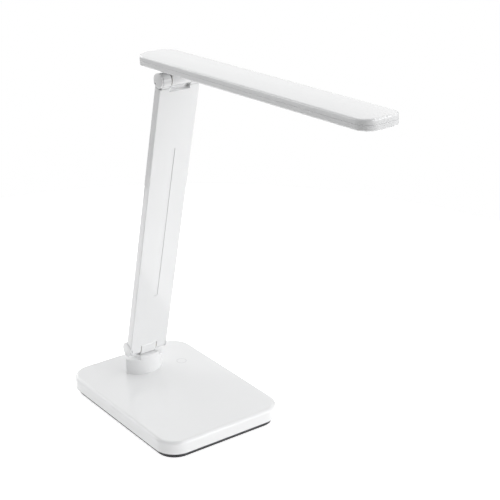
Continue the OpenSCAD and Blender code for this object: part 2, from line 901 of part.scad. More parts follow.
// Barrels at the arm's upper end, one at each side
module upper_barrels() color("white") {
    in_arm() translate([0, 0, arm_len]) both_sides() difference() {
        union() {
            rod_x(barrel_r, ear_in_high, ear_out);
            translate([ear_in_high, -arm_t / 2, -arm_end_gap + seam_gap])
                cube([ear_out - ear_in_high, arm_t, arm_end_gap - seam_gap]);
        }
        rod_x(pin_r, 0, arm_w);
        eye_room(-arm_end_gap - cut, 0);
    }
}

// Upper hinge pin, fixed in the arm
module upper_pin() color("silver") {
    in_arm() translate([0, 0, arm_len]) hinge_pin();
}

// Friction washers of the upper hinge
module upper_washers() color("#b0a080") {
    in_arm() translate([0, 0, arm_len]) hinge_washers(ear_in_high, barrel_r);
}

// End caps of the upper hinge, each with a small dimple
module upper_caps() color("white") {
    in_arm() translate([0, 0, arm_len]) both_sides() difference() {
        end_cap(barrel_r);
        rotate([dimple_angle, 0, 0]) translate([0, dimple_from_centre, 0])
            rod_x(dimple_r, cap_out - cap_dome - dimple_depth, cap_out + cut);
    }
}

// Outline of the light bar's hollow
module bar_hollow_outline() {
    round_rect(bar_w - 2 * bar_wall, bar_len - 2 * bar_wall, bar_corner_r - bar_wall);
}

// Outline of the light window, widened by a margin
module window_outline(margin) {
    round_rect(window_w + 2 * margin, window_len + 2 * margin, window_corner_r + margin);
}

// Places of the light bar's screws
module at_bar_screws() {
    for (x = [-1, 1], y = bar_screw_y)
        translate([x * bar_screw_x, y, bar_lift]) children();
}

// Upper shell of the light bar
module bar_top_shell() color("white") {
    in_bar() difference() {
        union() {
            difference() {
                translate([0, bar_mid_y, bar_seam_z])
                    soft_slab(bar_w, bar_len, bar_half_t, bar_corner_r, bar_edge_r, 0);
                translate([0, bar_mid_y, bar_seam_z - cut])
                    linear_extrude(bar_ceiling_z - bar_seam_z + cut) bar_hollow_outline();
            }
            at_bar_screws() translate([0, 0, bar_wall])
                cylinder(r = bar_boss_r, h = bar_t - 2 * bar_wall + lap);
        }
        at_bar_screws() translate([0, 0, bar_wall - cut]) cylinder(r = m2_r, h = cut + bar_screw_bite);
    }
}

// Lower frame of the light bar, with the window and a fine groove at the seam
module bar_lower_frame() color("white") {
    in_bar() difference() {
        translate([0, bar_mid_y, bar_lift])
            soft_slab(bar_w, bar_len, bar_half_t, bar_corner_r, 0, bar_edge_r);
        translate([0, bar_mid_y, bar_floor_z])
            linear_extrude(bar_half_t) bar_hollow_outline();
        translate([0, bar_mid_y, bar_seam_z - bar_seam_h]) linear_extrude(bar_seam_h + cut)
            difference() {
                round_rect(bar_w + 2 * cut, bar_len + 2 * cut, bar_corner_r + cut);
                round_rect(bar_w - 2 * bar_seam_depth, bar_len - 2 * bar_seam_depth,
                    bar_corner_r - bar_seam_depth);
            }
        translate([0, window_y, bar_lift - cut])
            linear_extrude(bar_wall + 2 * cut) window_outline(0);
        bar_bracket_blank();
        for (x = [-1, 1])
            translate([x * bracket_screw_x, 0, bar_lift - cut])
                cylinder(r = m2_r + hole_slack / 2, h = bar_wall + 2 * cut);
        at_bar_screws() {
            translate([0, 0, -cut]) cylinder(r = m2_head_r + hole_slack / 2, h = cut + m2_head_h);
            translate([0, 0, -cut]) cylinder(r = m2_r + hole_slack / 2, h = bar_wall + 2 * cut);
        }
    }
}

// Milky window under the LEDs, with a lip that lies on the frame
module diffuser() color("#f4f4ee") {
    in_bar() translate([0, window_y, bar_lift]) {
        linear_extrude(bar_wall) window_outline(-window_gap);
        translate([0, 0, bar_wall]) linear_extrude(lip_t) window_outline(lip);
    }
}

// Aluminium board that carries the LEDs, on the upper shell's inside
module led_board() color("#e8e8e8") {
    in_bar() translate([-led_board_w / 2, window_y - led_board_len / 2, bar_ceiling_z - led_board_t])
        cube([led_board_w, led_board_len, led_board_t]);
}

// Two rows of LEDs
module leds() color("#f2d84a") {
    pitch = (led_board_len - 2 * led_len) / (led_count - 1);
    in_bar() for (x = [-1, 1], i = [0 : led_count - 1])
        translate([
            x * led_row_x - led_w / 2,
            window_y + (i - (led_count - 1) / 2) * pitch - led_len / 2,
            bar_ceiling_z - led_board_t - led_h
        ])
            cube([led_w, led_len, led_h]);
}

// White block under the light bar, which turns between the arm's upper barrels
module bar_hinge_block() color("white") {
    in_bar() difference() {
        rotate([90, 0, 90]) linear_extrude(block_w, center = true) {
            circle(barrel_r);
            translate([-barrel_r, 0]) square([2 * barrel_r, bar_lift]);
        }
        bar_bracket_blank();
        rod_x(loose_r, -block_w, block_w);
        for (x = [-1, 1])
            translate([x * bracket_screw_x, 0, bar_lift - bracket_screw_bite])
                cylinder(r = m2_r, h = bracket_screw_bite + cut);
    }
}

// Steel bracket moulded into the block, which turns on the upper pin
module bar_bracket() color("#8a8d91") {
    in_bar() difference() {
        bar_bracket_blank();
        rod_x(pin_r + pin_clearance, -eye_w, eye_w);
        for (x = [-1, 1])
            translate([x * bracket_screw_x, 0, bar_floor_z - cut])
                cylinder(r = m2_r + hole_slack / 2, h = bar_plate_t + 2 * cut);
    }
}

// Screws from the bracket's plate into the block
module bracket_screws() color("silver") {
    in_bar() for (x = [-1, 1])
        translate([x * bracket_screw_x, 0, bar_floor_z + bar_plate_t + m2_head_h]) mirror([0, 0, 1])
            screw(m2_r, m2_head_r, m2_head_h, bar_plate_t + bar_wall + bracket_screw_bite);
}

// Screws from the lower frame into the upper shell
module bar_screws() color("silver") {
    in_bar() at_bar_screws() screw(m2_r, m2_head_r, m2_head_h, bar_wall + bar_screw_bite - m2_head_h - cut);
}

base_cover();
base_tray();
foot_pad();
counterweight();
base_screws();
weight_screws();
control_board();
board_parts();
board_screws();
touch_spring();
touch_ring();
inlet_housing();
inlet_pin();
hinge_post();
post_bracket();
post_screws();
arm_front_cover();
arm_rear_cover();
arm_spine();
arm_cable();
arm_screws();
lower_pin();
lower_washers();
lower_caps();
upper_barrels();
upper_pin();
upper_washers();
upper_caps();
bar_top_shell();
bar_lower_frame();
diffuser();
led_board();
leds();
bar_hinge_block();
bar_bracket();
bracket_screws();
bar_screws();
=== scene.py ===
# %% [markdown]
# # A folding desk lamp
# The lamp is a set of glossy white mouldings: a flat base, a post, a flat arm and a flat light bar. Its
# looks come from three things: crisp but rounded edges, fine seams, and a clean gloss.
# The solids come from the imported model, which is the fixed frame of this scene. A solid whose shape is
# already right gets a better finish, and a solid that the eye rests on gets a finer surface.

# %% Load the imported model
import json
import math

import bmesh
import bpy
import numpy as np
from mathutils import Matrix, Vector


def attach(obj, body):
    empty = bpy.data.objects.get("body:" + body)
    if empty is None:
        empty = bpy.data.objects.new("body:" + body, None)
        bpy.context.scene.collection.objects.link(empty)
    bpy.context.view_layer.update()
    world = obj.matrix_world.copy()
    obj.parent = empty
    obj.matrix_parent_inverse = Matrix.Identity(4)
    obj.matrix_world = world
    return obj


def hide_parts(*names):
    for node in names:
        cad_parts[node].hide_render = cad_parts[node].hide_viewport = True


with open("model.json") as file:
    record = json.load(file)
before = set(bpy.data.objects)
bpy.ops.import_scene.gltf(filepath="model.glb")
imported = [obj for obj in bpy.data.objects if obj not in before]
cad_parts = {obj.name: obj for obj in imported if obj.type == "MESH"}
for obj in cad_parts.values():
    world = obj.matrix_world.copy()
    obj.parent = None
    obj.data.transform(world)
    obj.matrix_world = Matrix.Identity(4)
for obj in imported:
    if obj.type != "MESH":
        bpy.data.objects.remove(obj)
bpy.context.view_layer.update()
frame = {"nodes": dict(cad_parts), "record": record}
NODES = frame["nodes"]
MM = 0.001


# %% [markdown]
# ## The camera
# The photograph was taken from the front left, from above the lamp. The direction, the distance and
# the lens were fitted to the outlines of the base, the arm and the light bar, so this camera is placed
# by three turns and a point instead of being aimed by eye.

# %% Camera
YAW = math.radians(36.892)
PITCH = math.radians(22.621)
ROLL = math.radians(0.158)
CAMERA_PLACE = Vector((-0.60900, -0.93234, 0.62340))
SENSOR_MM = 36
LENS_MM = 94.963


def add_camera():
    """Looks along the yaw and down by the pitch, then rolls about the line of sight."""
    sight = Vector((math.sin(YAW) * math.cos(PITCH), math.cos(YAW) * math.cos(PITCH), -math.sin(PITCH)))
    level_right = Vector((math.cos(YAW), -math.sin(YAW), 0))
    level_up = level_right.cross(sight)
    right = level_right * math.cos(ROLL) + level_up * math.sin(ROLL)
    up = level_up * math.cos(ROLL) - level_right * math.sin(ROLL)
    data = bpy.data.cameras.new("camera")
    data.sensor_width = SENSOR_MM
    data.lens = LENS_MM
    data.clip_end = 20
    camera = bpy.data.objects.new("camera", data)
    turn = Matrix((right, up, -sight)).transposed().to_4x4()
    turn.translation = CAMERA_PLACE
    camera.matrix_world = turn
    bpy.context.collection.objects.link(camera)
    bpy.context.scene.camera = camera


add_camera()
bpy.context.scene.view_settings.view_transform = "Standard"
print("camera at", tuple(CAMERA_PLACE))


# %% [markdown]
# ## Shader maths as sums
# A procedural finish is arithmetic on patterns: a noise, times a share, plus a colour. Wiring that by
# hand hides the sum. Here one small class wraps a socket, and Python's own signs add the Math nodes,
# so a finish reads like the sum that it is. Every other node comes from the one method `node`.

# %% A socket that can be added and multiplied
class Value:
    """One number that varies over a surface: the output socket of a node."""

    def __init__(self, finish, socket):
        self.finish = finish
        self.socket = socket

    def maths(self, operation, first, second):
        return self.finish.node("ShaderNodeMath", {"operation": operation}, [first, second])

    def __add__(self, other):
        return self.maths("ADD", self, other)

    def __radd__(self, other):
        return self.maths("ADD", other, self)

    def __mul__(self, other):
        return self.maths("MULTIPLY", self, other)

    def __rmul__(self, other):
        return self.maths("MULTIPLY", other, self)

    def over(self, limit):
        return self.maths("GREATER_THAN", self, limit)


class Finish:
    """A material in the making: its nodes, and the sockets of its one shader."""

    def __init__(self, name, **constants):
        self.material = bpy.data.materials.new(name)
        self.material.use_nodes = True
        self.tree = self.material.node_tree
        self.shader = self.tree.nodes["Principled BSDF"]
        for socket, value in constants.items():
            self.shader.inputs[socket.replace("_", " ")].default_value = value

    def node(self, kind, settings, inputs, output=0):
        """Adds a node, applies its settings, then fills its sockets with values or links."""
        made = self.tree.nodes.new(kind)
        for key, value in settings.items():
            setattr(made, key, value)
        pairs = inputs.items() if isinstance(inputs, dict) else enumerate(inputs)
        for key, value in pairs:
            if isinstance(value, Value):
                self.tree.links.new(value.socket, made.inputs[key])
            else:
                made.inputs[key].default_value = value
        return Value(self, made.outputs[output])

    def feed(self, socket, value):
        """Links a pattern to one socket of the shader."""
        self.tree.links.new(value.socket, self.shader.inputs[socket])

    def place(self, stretch=(1, 1, 1)):
        """Object coordinates in metres, stretched by a Mapping node."""
        where = self.node("ShaderNodeTexCoord", {}, {}, "Object")
        return self.node("ShaderNodeMapping", {}, {"Vector": where, "Scale": stretch})

    def noise(self, where, scale, detail=3.0, roughness=0.5):
        """Soft random pattern from 0 to 1, with so many features per metre."""
        return self.node("ShaderNodeTexNoise", {"noise_dimensions": "3D"},
                         {"Vector": where, "Scale": scale, "Detail": detail, "Roughness": roughness})

    def cells(self, where, scale, feature="F1"):
        """Pattern of irregular cells: the distance from each cell's middle, or from its wall."""
        sockets = {"Vector": where, "Scale": scale}
        return self.node("ShaderNodeTexVoronoi", {"feature": feature}, sockets, "Distance")

    def mix(self, share, first, second):
        """Colour between two colours. The Mix node has its colours in sockets 6 and 7, and gives one at 2."""
        sockets = {0: share, 6: (*first, 1), 7: (*second, 1)}
        return self.node("ShaderNodeMix", {"data_type": "RGBA"}, sockets, 2)

    def bump(self, height, strength, depth_mm):
        """Feeds the shader's normal with a relief of so many millimetres."""
        self.feed("Normal", self.node("ShaderNodeBump", {}, {
            "Strength": strength, "Distance": depth_mm * MM, "Height": height}))


print("shader helper ready")


# %% [markdown]
# ## Glossy white plastic
# The shells are moulded in a bright, slightly cool white and come out of a polished tool. Seen close,
# such a surface isn't flat: it has a faint orange peel from the flow of the plastic, and hands leave
# patches that are a little duller. So the colour varies by a percent, the roughness by a few, and the
# relief is far thinner than a hair. A clear coat gives the sharp highlight over the softer body gloss.

# %% White finish
WHITE = (0.86, 0.865, 0.87)


def white_gloss(name, colour=WHITE, roughness=0.22):
    """Colour: white less a little slow noise. Roughness: base plus smudges. Relief: two sizes of peel."""
    f = Finish(name, IOR=1.55, Coat_Weight=0.6, Coat_Roughness=0.06, Coat_IOR=1.5)
    where = f.place()
    slow = f.noise(where, 9.0, 2.0)
    smudge = f.noise(where, 46.0, 5.0, 0.62)
    peel = f.noise(where, 620.0, 2.0)
    swell = f.noise(where, 60.0, 1.0)
    darker = tuple(c * 0.975 for c in colour)
    f.feed("Base Color", f.mix(slow, colour, darker))
    f.feed("Roughness", roughness - 0.05 + 0.1 * smudge)
    f.bump(peel * 0.3 + swell, 0.25, 0.02)
    return f.material


# %% [markdown]
# ## Black plastic and soft pad
# The tray under the cover is black and finely grained, as a spark-eroded tool leaves it: small
# irregular cells that scatter the light. The pad is closed-cell foam, so its cells are larger, rounder
# and without gloss.

# %% Dark finishes
def black_grain(name, colour=(0.018, 0.018, 0.02), roughness=0.5, scale=1500.0):
    """Colour: near black, paler on the grain's tops. Relief: cells less a little noise."""
    f = Finish(name, IOR=1.5)
    where = f.place()
    grain = f.cells(where, scale)
    drift = f.noise(where, 30.0, 4.0)
    paler = tuple(c * 2.2 + 0.006 for c in colour)
    f.feed("Base Color", f.mix(grain * 0.7, colour, paler))
    f.feed("Roughness", roughness + 0.16 * drift)
    f.bump(grain + 0.3 * drift, 0.6, 0.05)
    return f.material


def foam(name):
    """Colour: dark grey with paler cell walls. Relief: round cells, open at the cut face."""
    f = Finish(name, Roughness=0.9)
    where = f.place()
    cell = f.cells(where, 900.0)
    wall = f.cells(where, 900.0, "DISTANCE_TO_EDGE")
    speck = f.noise(where, 220.0, 4.0)
    f.feed("Base Color", f.mix(cell, (0.035, 0.035, 0.038), (0.075, 0.075, 0.08)))
    f.feed("Roughness", 0.82 + 0.14 * speck)
    f.bump(wall + 0.4 * speck, 0.8, 0.12)
    return f.material


# %% [markdown]
# ## Metals
# Rolled and ground steel keeps fine lines in the direction in which it was worked. A noise that is
# stretched a hundredfold along one axis gives such lines, and both the roughness and the relief follow
# them, because a scratch scatters light across itself.

# %% Metal finishes
def lined_metal(name, colour, roughness=0.3, along=(1, 0.02, 1), spots=0.15):
    """Colour: the metal, tinted by slow patches. Roughness and relief: noise stretched along one axis."""
    f = Finish(name, Metallic=1.0)
    where = f.place()
    lines = f.noise(f.place(along), 1400.0, 3.0, 0.6)
    patches = f.noise(where, 120.0, 4.0)
    dull = tuple(c * (1 - spots) for c in colour)
    f.feed("Base Color", f.mix(patches, colour, dull))
    f.feed("Roughness", roughness - 0.08 + 0.2 * lines + 0.08 * patches)
    f.bump(lines, 0.3, 0.02)
    return f.material


# %% [markdown]
# ## The electrics
# A circuit board is glass cloth under a green lacquer: copper tracks stand a hair proud and look paler
# through it. The cable is a flat ribbon, with a rib for each wire. The light window is milky, because
# tiny particles in it scatter the light, so it hides the LEDs when the lamp is off.

# %% Finishes of the electrics
def lacquered_board(name):
    """Colour: lacquer, paler over tracks, which are the bands where a wave passes its limit."""
    f = Finish(name, Roughness=0.32, IOR=1.5, Coat_Weight=0.4)
    where = f.place()
    lanes = f.node("ShaderNodeTexWave", {"bands_direction": "DIAGONAL"}, {
        "Vector": where, "Scale": 90.0, "Distortion": 3.5, "Detail": 0.0, "Detail Scale": 0.6}, 1)
    tracks = lanes.over(0.72)
    weave = f.cells(where, 1200.0)
    f.feed("Base Color", f.mix(tracks, (0.012, 0.11, 0.045), (0.05, 0.24, 0.1)))
    f.feed("Roughness", 0.28 + 0.12 * weave)
    f.bump(tracks + 0.2 * weave, 0.5, 0.04)
    return f.material


def ribbon(name):
    """Relief: one rib for each wire, from a wave across the ribbon's width. Colour: painted shade, the red
    darker in the grooves between the ribs.
    """
    f = Finish(name, Roughness=0.45)
    where = f.place()
    rib_relief_and_shade = f.node("ShaderNodeTexWave", {"bands_direction": "X", "wave_profile": "SIN"}, {
        "Vector": where, "Scale": 130.0}, 1)
    speck = f.noise(where, 300.0)
    # Painted shade: the ribbon's red is darker in the grooves between the ribs and paler on their tops.
    f.feed("Base Color", f.mix(rib_relief_and_shade, (0.22, 0.02, 0.015), (0.5, 0.07, 0.05)))
    f.feed("Roughness", 0.4 + 0.15 * speck)
    f.bump(rib_relief_and_shade, 0.7, 0.2)
    return f.material


def milky(name):
    """Colour: warm white with slow clouds. Relief: the satin texture of its inner face."""
    f = Finish(name, IOR=1.49, Subsurface_Weight=0.25, Subsurface_Scale=0.002)
    where = f.place()
    cloud = f.noise(where, 14.0, 2.0)
    satin = f.noise(where, 900.0, 2.0)
    f.feed("Base Color", f.mix(cloud, (0.86, 0.86, 0.83), (0.82, 0.82, 0.79)))
    f.feed("Roughness", 0.36 + 0.1 * satin)
    f.bump(satin, 0.3, 0.02)
    return f.material


def phosphor(name):
    """Colour: yellow gel, deeper in the middle of each grain."""
    f = Finish(name, Roughness=0.35)
    where = f.place()
    grain = f.cells(where, 2500.0)
    f.feed("Base Color", f.mix(grain, (0.86, 0.62, 0.08), (0.9, 0.78, 0.3)))
    f.feed("Roughness", 0.3 + 0.2 * grain)
    f.bump(grain, 0.3, 0.03)
    return f.material


# %% [markdown]
# ## Surfaces from numbers
# A drawn shape can be pushed about by hand, but then nobody can say what it measures. Here a shape is
# a grid of points: rows along one parameter, columns along the other, worked out for the whole grid at
# once. One function turns grids into a mesh. Columns run round and close on themselves, and a row that
# has shrunk to one point closes the end.

# %% From grids to a mesh
JOIN_WITHIN = 0.002 * MM
SMOOTH_UNDER = math.radians(35)


def grid_faces(rows, columns, first):
    """Faces between neighbouring rows and columns of a grid whose points start at a number."""
    left = first + np.arange(rows * columns).reshape(rows, columns)
    right = np.roll(left, -1, axis=1)
    quads = np.stack([left[:-1], right[:-1], right[1:], left[1:]], -1)
    return quads.reshape(-1, 4)


def surface(name, grids):
    """Object whose mesh holds each grid of points. Points that fall together are joined at the end."""
    points, faces, first = [], [], 0
    for grid in grids:
        rows, columns = grid.shape[:2]
        points.append(grid.reshape(-1, 3))
        faces.append(grid_faces(rows, columns, first))
        first += rows * columns
    mesh = bpy.data.meshes.new(name)
    mesh.from_pydata(np.concatenate(points).tolist(), [], np.concatenate(faces).tolist())
    tidy = bmesh.new()
    tidy.from_mesh(mesh)
    bmesh.ops.remove_doubles(tidy, verts=tidy.verts, dist=JOIN_WITHIN)
    bmesh.ops.recalc_face_normals(tidy, faces=tidy.faces)
    tidy.to_mesh(mesh)
    tidy.free()
    mesh.shade_smooth()
    mesh.set_sharp_from_angle(angle=SMOOTH_UNDER)
    made = bpy.data.objects.new(name, mesh)
    bpy.context.collection.objects.link(made)
    return made


print("surface helper ready")


# %% [markdown]
# ## Finishes on the solids
# Each slot of the record names one finish of the real lamp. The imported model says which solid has
# which slot, so one loop dresses every solid, and no solid keeps the plain colour that it came with.

# %% Dress the solids
FINISHES = {
    "white_gloss": white_gloss("white_gloss"),
    "black_plastic": black_grain("black_plastic"),
    "soft_pad": foam("soft_pad"),
    "counterweight_steel": lined_metal("counterweight_steel", (0.4, 0.41, 0.43), 0.42, (0.02, 1, 1), 0.3),
    "screw_steel": lined_metal("screw_steel", (0.62, 0.62, 0.64), 0.28, (1, 1, 1)),
    "bracket_steel": lined_metal("bracket_steel", (0.5, 0.51, 0.53), 0.34, (1, 0.02, 1)),
    "pin_steel": lined_metal("pin_steel", (0.62, 0.63, 0.65), 0.2, (0.02, 1, 1), 0.05),
    "washer_brass": lined_metal("washer_brass", (0.62, 0.47, 0.2), 0.35, (1, 1, 1)),
    "board_green": lacquered_board("board_green"),
    "parts_black": black_grain("parts_black", (0.03, 0.03, 0.032), 0.45, 2200.0),
    "spring_steel": lined_metal("spring_steel", (0.66, 0.52, 0.26), 0.25, (1, 1, 0.05)),
    "mark_grey": white_gloss("mark_grey", (0.62, 0.62, 0.63), 0.3),
    "contact_metal": lined_metal("contact_metal", (0.75, 0.75, 0.74), 0.14, (1, 0.05, 1), 0.05),
    "cable_red": ribbon("cable_red"),
    "milky_window": milky("milky_window"),
    "led_board_white": white_gloss("led_board_white", (0.8, 0.8, 0.8), 0.45),
    "led_yellow": phosphor("led_yellow"),
}
SLOT_OF = {row["node"]: row["material_slot"] for row in frame["record"]["subparts"]}


def dress(piece, slot):
    """Gives a mesh the finish of a slot in place of any that it has."""
    if not piece.data.materials:
        piece.data.materials.append(FINISHES[slot])
    for place in piece.material_slots:
        place.material = FINISHES[slot]


for name, solid in NODES.items():
    dress(solid, SLOT_OF[name])
print("finishes:", len(FINISHES), "dressed solids:", len(NODES))


# %% [markdown]
# ## Softer edges on the solids
# A moulded edge is never sharp: the tool leaves a radius of a few tenths of a millimetre, and that
# radius catches a thin line of light. The solids have sharp edges there. A copy of a solid is merged,
# its flat triangles are joined to whole faces, and a Bevel modifier rounds what is left sharp. This
# suits a shape with many cuts, such as a hinge, better than a surface worked out from the start.

# %% Rounded copies
FLAT_UNDER = math.radians(0.6)
ROUND_OVER = math.radians(32)
ROUND_STEPS = 2


def rounded_copy(node, body, width_mm):
    """Copy of a solid in the same place, with its sharp edges rounded by a width."""
    tidy = bmesh.new()
    tidy.from_mesh(NODES[node].data)
    bmesh.ops.remove_doubles(tidy, verts=tidy.verts, dist=JOIN_WITHIN)
    bmesh.ops.dissolve_limit(tidy, angle_limit=FLAT_UNDER, verts=tidy.verts, edges=tidy.edges)
    mesh = bpy.data.meshes.new(node + "_rounded")
    tidy.to_mesh(mesh)
    tidy.free()
    custom = mesh.attributes.get("custom_normal")
    if custom:
        mesh.attributes.remove(custom)
    mesh.shade_smooth()
    mesh.set_sharp_from_angle(angle=ROUND_OVER)
    copy = bpy.data.objects.new(node + "_rounded", mesh)
    bpy.context.collection.objects.link(copy)
    bevel = copy.modifiers.new("edge", "BEVEL")
    bevel.width = width_mm * MM
    bevel.segments = ROUND_STEPS
    bevel.limit_method = "ANGLE"
    bevel.angle_limit = ROUND_OVER
    bevel.harden_normals = True
    bevel.use_clamp_overlap = True
    finish_piece(copy, body, node)
    return copy


def finish_piece(piece, body, *nodes):
    """Dresses a piece as the solid that it stands for, hides that solid, and lets it ride on its body."""
    slot = SLOT_OF[nodes[0]]
    piece.data.materials.clear()
    piece.data.materials.append(FINISHES[slot])
    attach(piece, body)
    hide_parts(*nodes)


for node, body, width_mm in (
    ("hinge_post", "base", 0.3),
    ("arm_front_cover", "arm", 0.25),
    ("arm_rear_cover", "arm", 0.25),
    ("upper_barrels", "arm", 0.25),
    ("bar_hinge_block", "light_bar", 0.3),
    ("bar_lower_frame", "light_bar", 0.12),
    ("base_tray", "base", 0.15),
    ("foot_pad", "base", 0.25),
    ("inlet_housing", "base", 0.12),
    ("diffuser", "light_bar", 0.15),
):
    made = rounded_copy(node, body, width_mm)
    print(made.name, len(made.data.vertices), "points")


# %% [markdown]
# ## Where the arm and the light bar are
# The arm leans on the lower pin and the light bar lies on the upper pin. Their pieces are worked out
# standing straight, with the origin in the arm's middle or in the upper pin, and are then carried over
# by one turn about X and one shift. The lower pin lies a little behind the arm's middle, so that the
# barrels are level with the arm's face.

# %% Frames of the arm and the bar
BASE_TOP = 18.2 * MM
PIVOT = np.array([0, 49, 44.6]) * MM
PIN_BEHIND = np.array([0, 2.75, 0]) * MM
ARM_LENGTH = 289.4 * MM
ARM_LEAN = math.radians(12.9)
BAR_RISE = math.radians(2.6)


def turned_x(points, angle):
    """Points turned about X: y and z mixed by the angle's sine and cosine."""
    x, y, z = np.moveaxis(points, -1, 0)
    c, s = math.cos(angle), math.sin(angle)
    return np.stack([x, y * c - z * s, y * s + z * c], -1)


def in_arm(points):
    return turned_x(points - PIN_BEHIND, ARM_LEAN) + PIVOT


def in_bar(points):
    return in_arm(turned_x(points, -ARM_LEAN - BAR_RISE) + np.array([0, 0, ARM_LENGTH]))


print("upper pin at", np.round(in_bar(np.zeros(3)), 4))


# %% [markdown]
# ## Outlines and profiles
# Base and light bar are the same kind of shape: a flat box with round corners, whose edge rolls over.
# Such a shape is a profile carried along an outline. The outline gives each column a corner point and
# the way out, and the profile gives each row how far out and how high it is.

# %% Outline and profile
def round_outline(width, depth, radius, straight=40, arc=16):
    """Corner points of a rectangle drawn in by the radius, and at each the direction of the radius:
    quarter turns at the corners, and even steps of one direction along the sides."""
    half = np.array([width / 2 - radius, depth / 2 - radius])
    corners = np.array([(1, 1), (-1, 1), (-1, -1), (1, -1)]) * half
    cores, ways = [], []
    for k in range(4):
        turn = k * np.pi / 2 + np.linspace(0, np.pi / 2, arc + 1)
        along = np.linspace(0, 1, straight + 1)[1:-1, None]
        cores.append(np.repeat(corners[k:k + 1], arc + 1, axis=0))
        ways.append(np.stack([np.cos(turn), np.sin(turn)], -1))
        cores.append(corners[k] + along * (corners[(k + 1) % 4] - corners[k]))
        ways.append(np.repeat(ways[-1][-1:], straight - 1, axis=0))
    return np.concatenate(cores), np.concatenate(ways)


def lifted(flat, height):
    """Rows of flat points as points in space, each row at its own height."""
    high = np.broadcast_to(height[:, None, None], flat.shape[:2] + (1,))
    return np.concatenate([flat, high], -1)


def carried(outline, profile):
    """Rows of points: corner point plus the way out times the profile's reach, at the profile's height."""
    core, way = outline
    reach, height = np.array(profile).T
    return lifted(core[None] + way[None] * reach[:, None, None], height)


def rolled_edge(radius, reach, height, steps=9):
    """Quarter circle of a profile, from flat on top to upright at the side."""
    turn = np.linspace(0, np.pi / 2, steps)
    return list(zip(reach - radius + radius * np.sin(turn), height - radius + radius * np.cos(turn)))


def shrunk(row, shares, middle):
    """Rows between one row and its middle: the middle plus a share of the way out to the row."""
    return middle + np.array(shares)[:, None, None] * (row - middle)


def tube(inner, outer, low, high, place, columns=24):
    """Closed tube: four corner rings, inside low, outside low, outside high, inside high, and back."""
    radius = np.array([inner, outer, outer, inner, inner])
    level = np.array([low, low, high, high, low])
    turn = np.linspace(0, 2 * np.pi, columns, endpoint=False)
    x = place[0] + radius[:, None] * np.cos(turn)
    y = place[1] + radius[:, None] * np.sin(turn)
    return np.stack([x, y, level[:, None] + 0 * x], -1)


# %% [markdown]
# ## The cover of the base
# The cover is one moulding: a flat top, an edge of 3 mm radius all round, and a thin wall down to the
# black tray. Where the finger dims the light, a ring is let into the top. So the rows of the top start
# at the ring's middle, follow the ring's groove as circles, and widen to the outline of the base. All
# rows after them follow the outline: over the edge, down, in under the wall, and up inside to the
# ceiling.

# %% Cover of the base
BASE_W, BASE_D, BASE_CORNER = 130 * MM, 178 * MM, 21 * MM
BASE_EDGE = 3 * MM
COVER_LOW = 5.8 * MM
COVER_WALL = 2.2 * MM
COVER_CEILING = 15.8 * MM
TOUCH = np.array([37, 41]) * MM
RING_OUT, RING_LINE, RING_DEEP = 5 * MM, 0.8 * MM, 0.3 * MM
RING_LIP = 0.06 * MM
INLET_HEIGHT, INLET_HOLE = 10.8 * MM, 3.95 * MM
BASE_SCREWS_MM = [(x, y) for x in (-49, 49) for y in (-73, 73)]


def cover_grid():
    """Rows of circles round the touch ring, rows between circle and outline, then the wall's profile."""
    outline = round_outline(BASE_W, BASE_D, BASE_CORNER, 44, 24)
    low_edge = 0.25 * MM
    inner = BASE_CORNER - COVER_WALL
    wall = rolled_edge(BASE_EDGE, BASE_CORNER, BASE_TOP, 12)
    wall += [(BASE_CORNER, COVER_LOW + 6 * MM), (BASE_CORNER, COVER_LOW + low_edge)]
    wall += [(BASE_CORNER - low_edge, COVER_LOW), (inner + low_edge, COVER_LOW)]
    wall += [(inner, COVER_LOW + low_edge), (inner, COVER_CEILING)]
    wall = carried(outline, wall)
    flat_rim = carried(outline, [(BASE_CORNER - BASE_EDGE - 0.3 * MM, BASE_TOP)])
    out = flat_rim[0, :, :2] - TOUCH
    way = out / np.linalg.norm(out, axis=1, keepdims=True)
    inside = RING_OUT - RING_LINE
    groove_in = [0, 0.5 * inside, inside - RING_LIP, inside, inside]
    radius = np.array(groove_in + [RING_OUT, RING_OUT, RING_OUT + RING_LIP])
    sunk = np.array([0, 0, 0, 0, 1, 1, 0, 0]) * RING_DEEP
    ring = lifted(TOUCH + radius[:, None, None] * way, BASE_TOP - sunk)
    share = np.array([0.2, 0.45, 0.72])[:, None, None]
    between = ring[-1:] + share * (flat_rim - ring[-1:])
    ceiling = shrunk(wall[-1:], [0.6, 0.2, 0], np.array([0, 0, COVER_CEILING]))
    return np.concatenate([ring, between, flat_rim, wall, ceiling])


def drilled(piece, place, radius, length):
    """Cuts a round hole along Y with a Boolean modifier, and keeps the result as the piece's mesh."""
    bpy.ops.mesh.primitive_cylinder_add(vertices=64, radius=radius, depth=length, location=place,
                                        rotation=(math.pi / 2, 0, 0))
    cutter = bpy.context.active_object
    cut = piece.modifiers.new("hole", "BOOLEAN")
    cut.object = cutter
    cut.operation = "DIFFERENCE"
    cut.solver = "EXACT"
    bpy.context.view_layer.update()
    result = bpy.data.meshes.new_from_object(piece.evaluated_get(bpy.context.evaluated_depsgraph_get()))
    piece.modifiers.clear()
    piece.data = result
    result.shade_smooth()
    result.set_sharp_from_angle(angle=SMOOTH_UNDER)
    bpy.data.objects.remove(cutter)


bosses = [tube(1.5 * MM, 3.5 * MM, 4.3 * MM, 16.3 * MM, (x * MM, y * MM)) for x, y in BASE_SCREWS_MM]
cover = surface("base_cover_shell", [cover_grid(), *bosses])
drilled(cover, (0, BASE_D / 2, INLET_HEIGHT), INLET_HOLE, 8 * MM)
finish_piece(cover, "base", "base_cover")
print("cover:", len(cover.data.vertices), "points")


# %% [markdown]
# ## The upper shell of the light bar
# Its section isn't flat on top. The photograph shows the top growing brighter from the near edge to
# the far one over its whole width, and a flat face can't do that: it is crowned, and turns slowly to
# the light behind. The rows above the seam are lowered by the square of their distance from the middle.

